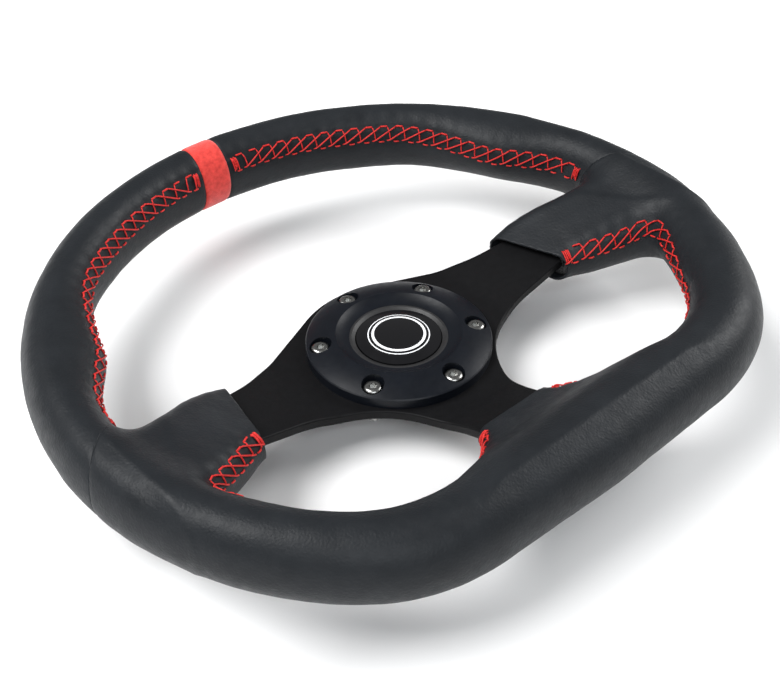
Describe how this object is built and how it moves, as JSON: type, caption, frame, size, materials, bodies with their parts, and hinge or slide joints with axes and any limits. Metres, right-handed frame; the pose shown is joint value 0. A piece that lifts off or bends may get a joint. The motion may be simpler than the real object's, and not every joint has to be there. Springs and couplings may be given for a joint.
{
  "type": "sports steering wheel",
  "caption": "Flat-bottom three-spoke sports steering wheel with a dished plate, leather grip, red centre mark and cross-stitching, and a sprung horn button.",
  "frame": {"origin": "centre of the spoke plate's back face, where the hub adapter bolts on", "axes": "+Z along the column towards the driver, +Y to 12 o'clock, +X to 3 o'clock"},
  "size_m": [0.32, 0.29, 0.0602],
  "materials": {
    "black_plate": "satin black powder coat on bent aluminium plate",
    "hoop_steel": "plain drawn steel bar and zinc-plated pressings",
    "foam": "moulded polyurethane foam",
    "leather": "charcoal grained leather, satin, hand-stretched",
    "mark_leather": "red suede-like leather strip",
    "thread": "red bonded polyester thread, cross-stitched",
    "bezel_black": "satin black anodised turned aluminium",
    "bolt_steel": "bright stainless steel",
    "housing_plastic": "moulded black plastic",
    "seal_rubber": "soft black rubber",
    "base_plastic": "brown phenolic board",
    "spring_steel": "spring steel, phosphated",
    "contact_brass": "punched brass",
    "cap_gloss": "gloss black moulding",
    "emblem": "printed disc under clear resin with plain white rings"
  },
  "bodies": {
    "wheel": {"spoke_plate": "black_plate", "rim_hoop": "hoop_steel", "clamp_right": "hoop_steel", "clamp_left": "hoop_steel", "clamp_bottom": "hoop_steel", "spoke_rivets": "hoop_steel", "rim_foam": "foam", "leather_upper_right": "leather", "leather_upper_left": "leather", "leather_lower": "leather", "centre_mark": "mark_leather", "seam_upper": "thread", "seam_lower_right": "thread", "seam_lower_left": "thread", "horn_bezel": "bezel_black", "hub_bolts": "bolt_steel", "horn_housing": "housing_plastic", "housing_gasket": "seal_rubber", "contact_base": "base_plastic", "base_circlip": "spring_steel", "fixed_contact": "contact_brass", "ground_ring": "contact_brass", "live_terminal": "contact_brass", "ground_terminal": "contact_brass", "terminal_rivets": "contact_brass", "horn_spring": "spring_steel"},
    "horn_button": {"horn_cap": "cap_gloss", "emblem_disc": "emblem", "horn_plunger": "housing_plastic", "moving_contact": "contact_brass", "contact_screw": "bolt_steel"}
  },
  "joints": [
    {"name": "horn_press", "type": "slide", "parent": "wheel", "child": "horn_button", "axis": [0, 0, -1], "range_m": [0, 0.002], "stiffness_N_per_m": 2500, "springref_m": -0.0016, "deforming": ["horn_spring"]}
  ]
}
